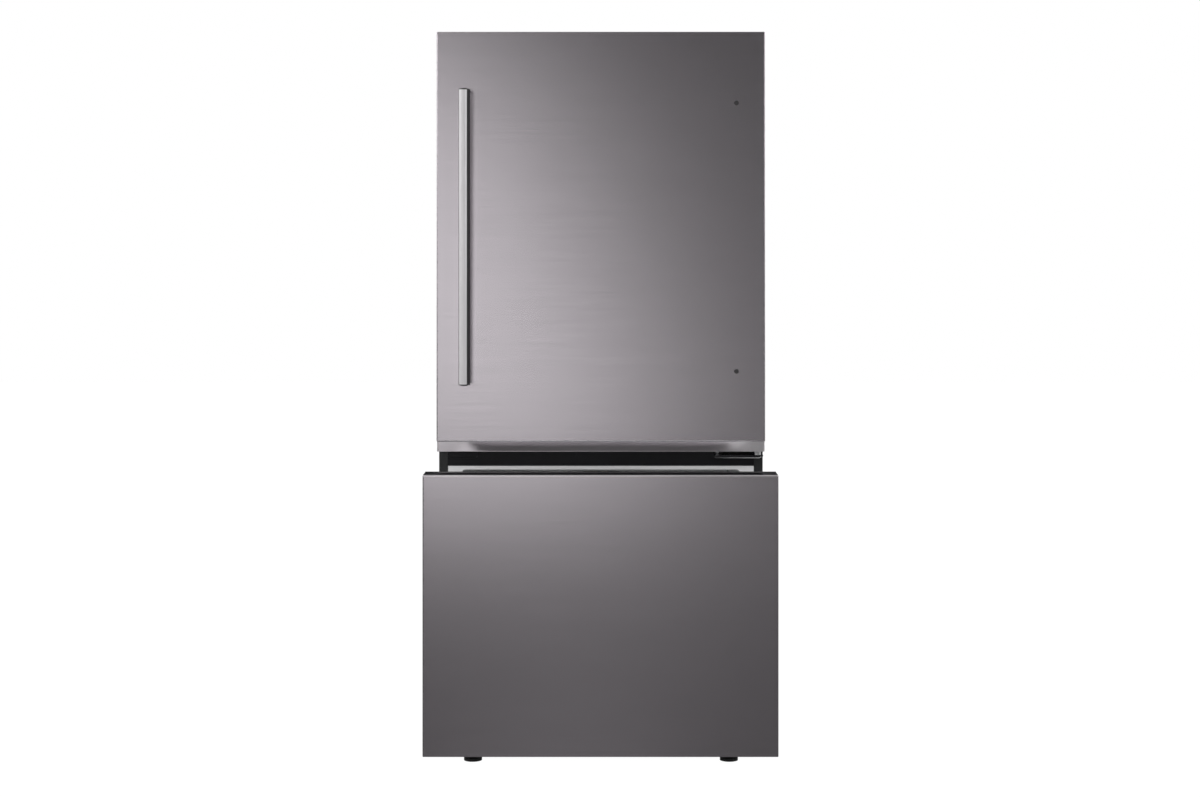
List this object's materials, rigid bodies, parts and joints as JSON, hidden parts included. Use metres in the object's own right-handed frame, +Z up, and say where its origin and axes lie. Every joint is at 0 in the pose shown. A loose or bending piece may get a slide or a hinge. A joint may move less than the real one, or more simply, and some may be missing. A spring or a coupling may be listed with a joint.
{
  "type": "bottom freezer refrigerator",
  "caption": "Free-standing refrigerator with a hinged brushed steel door and long bar handle above a pull-out freezer drawer on telescopic slides, drawn with the drawer open.",
  "frame": {"origin": "on the floor under the middle of the bounding box, with the freezer drawer standing open as at rest", "axes": "+Z up; +X to the right for someone facing the door, towards the hinge side; +Y from the door to the back"},
  "size_m": [0.756, 1.079, 1.704],
  "materials": {
    "case_paint": "satin",
    "galvanised_sheet": "satin",
    "foam": "matte",
    "white_liner": "satin",
    "clear_plastic": "gloss",
    "glass_pane": "gloss",
    "lamp_lens": "satin",
    "dark_plastic": "satin",
    "foot_plastic": "satin",
    "zinc_steel": "satin",
    "hinge_paint": "satin",
    "black_paint": "satin",
    "fin_aluminium": "satin",
    "nylon": "satin",
    "door_steel": "satin",
    "handle_steel": "satin",
    "seal_rubber": "matte"
  },
  "bodies": {
    "cabinet": {"outer_case": "case_paint", "rear_panel": "galvanised_sheet", "cabinet_insulation": "foam", "fridge_liner": "white_liner", "freezer_liner": "white_liner", "mullion_cover": "dark_plastic", "top_hinge_bracket": "zinc_steel", "top_hinge_cover": "dark_plastic", "middle_hinge_bracket": "hinge_paint", "base_frame": "galvanised_sheet", "base_grille": "dark_plastic", "levelling_legs": "foot_plastic", "compressor": "black_paint", "condenser_coil": "black_paint", "condenser_fan_bracket": "dark_plastic", "drain_pan": "dark_plastic", "machine_cover": "galvanised_sheet", "cord_inlet": "dark_plastic", "evaporator": "fin_aluminium", "freezer_duct_cover": "white_liner", "fridge_duct_panel": "white_liner", "lamp_cover": "lamp_lens", "control_panel": "white_liner", "shelf_frames": "white_liner", "glass_shelf_lower": "glass_pane", "glass_shelf_upper": "glass_pane", "crisper_frame": "white_liner", "crisper_cover": "glass_pane", "outer_rails": "zinc_steel", "racks": "nylon"},
    "door": {"door_skin": "door_steel", "door_top_cap": "dark_plastic", "hinge_bushes": "nylon", "door_liner": "white_liner", "door_insulation": "foam", "door_gasket": "seal_rubber", "handle_bar": "handle_steel", "handle_posts": "handle_steel", "hole_plugs": "dark_plastic", "door_bin_lower": "clear_plastic", "door_bin_middle": "clear_plastic", "door_bin_upper": "clear_plastic", "dairy_bin": "white_liner"},
    "dairy_lid": {"dairy_cover": "clear_plastic"},
    "crisper_right": {"crisper_right": "clear_plastic"},
    "crisper_left": {"crisper_left": "clear_plastic"},
    "freezer_drawer": {"drawer_skin": "door_steel", "drawer_top_cap": "dark_plastic", "drawer_liner": "white_liner", "drawer_insulation": "foam", "drawer_gasket": "seal_rubber", "inner_rails": "zinc_steel", "freezer_basket": "white_liner"},
    "mid_rails": {"mid_rails": "zinc_steel"},
    "sync_shaft": {"sync_shaft": "nylon"},
    "upper_tray": {"upper_tray": "clear_plastic"},
    "evaporator_fan": {"evaporator_fan": "nylon"},
    "condenser_fan": {"condenser_fan": "dark_plastic"},
    "rear_roller_right": {"rear_roller_right": "nylon"},
    "rear_roller_left": {"rear_roller_left": "nylon"}
  },
  "joints": [
    {"name": "door_hinge", "type": "hinge", "parent": "cabinet", "child": "door", "pos_m": [0.363, -0.1385, 1.2], "axis": [0, 0, 1], "range_deg": [0, 125]},
    {"name": "dairy_lid_hinge", "type": "hinge", "parent": "door", "child": "dairy_lid", "pos_m": [0, -0.112, 1.508], "axis": [1, 0, 0], "range_deg": [0, 75]},
    {"name": "crisper_right_slide", "type": "slide", "parent": "cabinet", "child": "crisper_right", "axis": [0, -1, 0], "range_m": [0, 0.2182]},
    {"name": "crisper_left_slide", "type": "slide", "parent": "cabinet", "child": "crisper_left", "axis": [0, -1, 0], "range_m": [0, 0.2182]},
    {"name": "freezer_drawer_slide", "type": "slide", "parent": "cabinet", "child": "freezer_drawer", "axis": [0, -1, 0], "range_m": [-0.361, 0.09]},
    {"name": "mid_rail_slide", "type": "slide", "parent": "cabinet", "child": "mid_rails", "axis": [0, -1, 0], "range_m": [-0.1805, 0.045]},
    {"name": "sync_shaft_spin", "type": "hinge", "parent": "freezer_drawer", "child": "sync_shaft", "pos_m": [0, 0.009, 0.369], "axis": [1, 0, 0], "range_deg": [-920, 230]},
    {"name": "upper_tray_slide", "type": "slide", "parent": "freezer_drawer", "child": "upper_tray", "axis": [0, -1, 0], "range_m": [0, 0.2]},
    {"name": "evaporator_fan_spin", "type": "hinge", "parent": "cabinet", "child": "evaporator_fan", "pos_m": [0, 0.426, 0.61], "axis": [0, 1, 0], "continuous": true},
    {"name": "condenser_fan_spin", "type": "hinge", "parent": "cabinet", "child": "condenser_fan", "pos_m": [0.024, 0.4, 0.14], "axis": [1, 0, 0], "continuous": true},
    {"name": "rear_roller_right_spin", "type": "hinge", "parent": "cabinet", "child": "rear_roller_right", "pos_m": [0.328, 0.49, 0.02], "axis": [1, 0, 0], "continuous": true},
    {"name": "rear_roller_left_spin", "type": "hinge", "parent": "cabinet", "child": "rear_roller_left", "pos_m": [-0.328, 0.49, 0.02], "axis": [1, 0, 0], "continuous": true}
  ],
  "couplings": [
    {"joint": "crisper_right_slide", "follows": "door_hinge", "m_per_rad": 0.1},
    {"joint": "crisper_left_slide", "follows": "door_hinge", "m_per_rad": 0.1},
    {"joint": "mid_rail_slide", "follows": "freezer_drawer_slide", "ratio": 0.5},
    {"joint": "sync_shaft_spin", "follows": "freezer_drawer_slide", "rad_per_m": 44.444}
  ]
}
